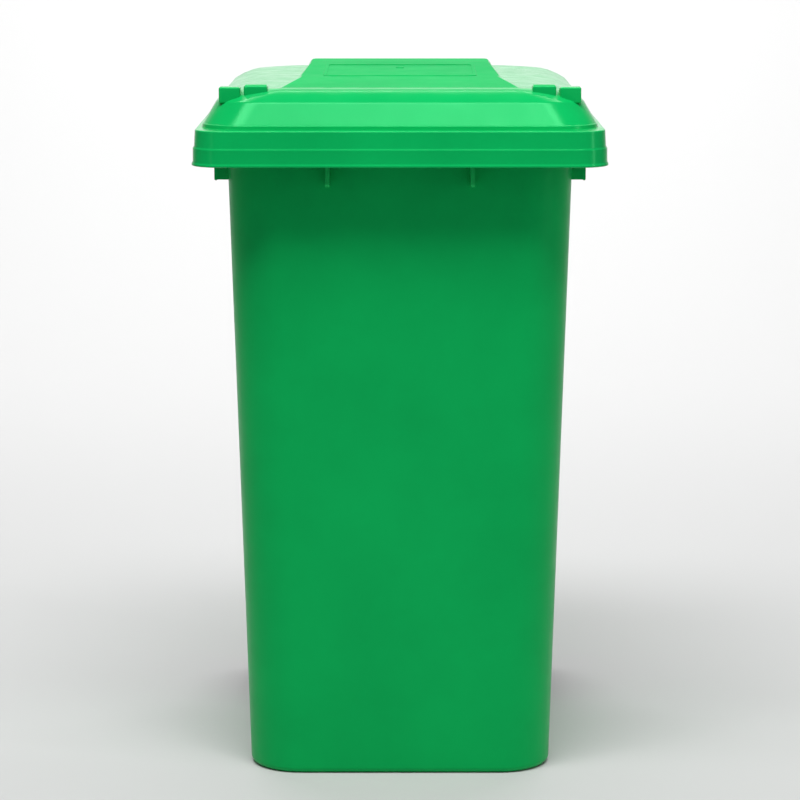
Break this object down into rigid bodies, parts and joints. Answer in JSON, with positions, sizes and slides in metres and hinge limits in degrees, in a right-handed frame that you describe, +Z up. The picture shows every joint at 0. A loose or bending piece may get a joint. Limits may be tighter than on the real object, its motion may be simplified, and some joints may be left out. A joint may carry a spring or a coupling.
{
  "type": "wheeled refuse bin",
  "caption": "Tall green plastic refuse bin on wheels: tapered tub under a hinged lid with a stepped skirt and raised hump, handle grips behind.",
  "frame": {"origin": "on the floor under the middle of the overall box", "axes": "+Z up; the front faces -Y; the axle and the lid's hinge line run along X"},
  "size_m": [0.58, 0.73, 1.01],
  "materials": {
    "body_plastic": "injection-moulded polyethylene, satin gloss",
    "lid_plastic": "injection-moulded polyethylene, gloss",
    "steel": "zinc plated",
    "spring_steel": "spring wire",
    "pin_plastic": "moulded nylon",
    "buffer_rubber": "soft rubber",
    "spacer_plastic": "moulded",
    "tyre_rubber": "solid rubber",
    "wheel_plastic": "moulded polypropylene",
    "bush_plastic": "natural nylon",
    "cap_plastic": "moulded polypropylene"
  },
  "bodies": {
    "bin": {"bin_body": "body_plastic", "axle": "steel", "hinge_pin_left": "pin_plastic", "hinge_pin_right": "pin_plastic", "lid_buffer_left": "buffer_rubber", "lid_buffer_right": "buffer_rubber", "axle_spacer_left": "spacer_plastic", "axle_spacer_right": "spacer_plastic"},
    "lid": {"lid": "lid_plastic"},
    "wheel_left": {"tyre_left": "tyre_rubber", "wheel_centre_left": "wheel_plastic", "hub_bush_left": "bush_plastic", "hub_cap_left": "cap_plastic", "lock_spring_left": "spring_steel"},
    "lock_left": {"lock_pin_left": "steel"},
    "wheel_right": {"tyre_right": "tyre_rubber", "wheel_centre_right": "wheel_plastic", "hub_bush_right": "bush_plastic", "hub_cap_right": "cap_plastic", "lock_spring_right": "spring_steel"},
    "lock_right": {"lock_pin_right": "steel"}
  },
  "joints": [
    {"name": "lid_hinge", "type": "hinge", "parent": "bin", "child": "lid", "pos_m": [0, 0.348, 0.925], "axis": [-1, 0, 0], "range_deg": [0, 255]},
    {"name": "wheel_left_spin", "type": "hinge", "parent": "bin", "child": "wheel_left", "pos_m": [-0.211, 0.235, 0.1], "axis": [1, 0, 0], "continuous": true},
    {"name": "lock_left_slide", "type": "slide", "parent": "wheel_left", "child": "lock_left", "axis": [0, 0, 1], "range_m": [0, 0.0025], "stiffness_N_per_m": 600, "springref_m": -0.003, "deforming": ["lock_spring_left"]},
    {"name": "wheel_right_spin", "type": "hinge", "parent": "bin", "child": "wheel_right", "pos_m": [0.211, 0.235, 0.1], "axis": [1, 0, 0], "continuous": true},
    {"name": "lock_right_slide", "type": "slide", "parent": "wheel_right", "child": "lock_right", "axis": [0, 0, 1], "range_m": [0, 0.0025], "stiffness_N_per_m": 600, "springref_m": -0.003, "deforming": ["lock_spring_right"]}
  ]
}
